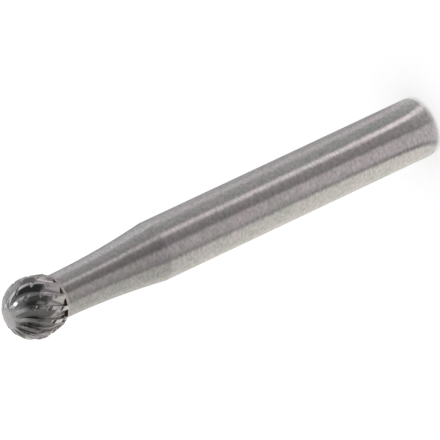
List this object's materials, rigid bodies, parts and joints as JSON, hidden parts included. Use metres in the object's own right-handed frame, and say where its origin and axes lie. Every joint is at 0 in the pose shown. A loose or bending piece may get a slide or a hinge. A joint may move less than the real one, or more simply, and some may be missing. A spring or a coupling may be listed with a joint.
{
  "type": "carbide burr",
  "caption": "Ball-nosed rotary burr: a fluted tungsten carbide head brazed to a steel shank that narrows to a neck behind it.",
  "frame": {"origin": "centre of the flat end face of the shank", "axes": "+Z along the axis of rotation from the end of the shank to the nose of the ball; X and Y lie in the end face, and -Y is the side that the picture faces"},
  "size_m": [0.006, 0.006, 0.05],
  "materials": {
    "ground_steel": "fine ground",
    "silver_braze": "dull, as brazed",
    "tungsten_carbide": "ground and glossy"
  },
  "bodies": {
    "root": {"shank": "ground_steel", "braze_joint": "silver_braze", "carbide_head": "tungsten_carbide"}
  },
  "joints": []
}
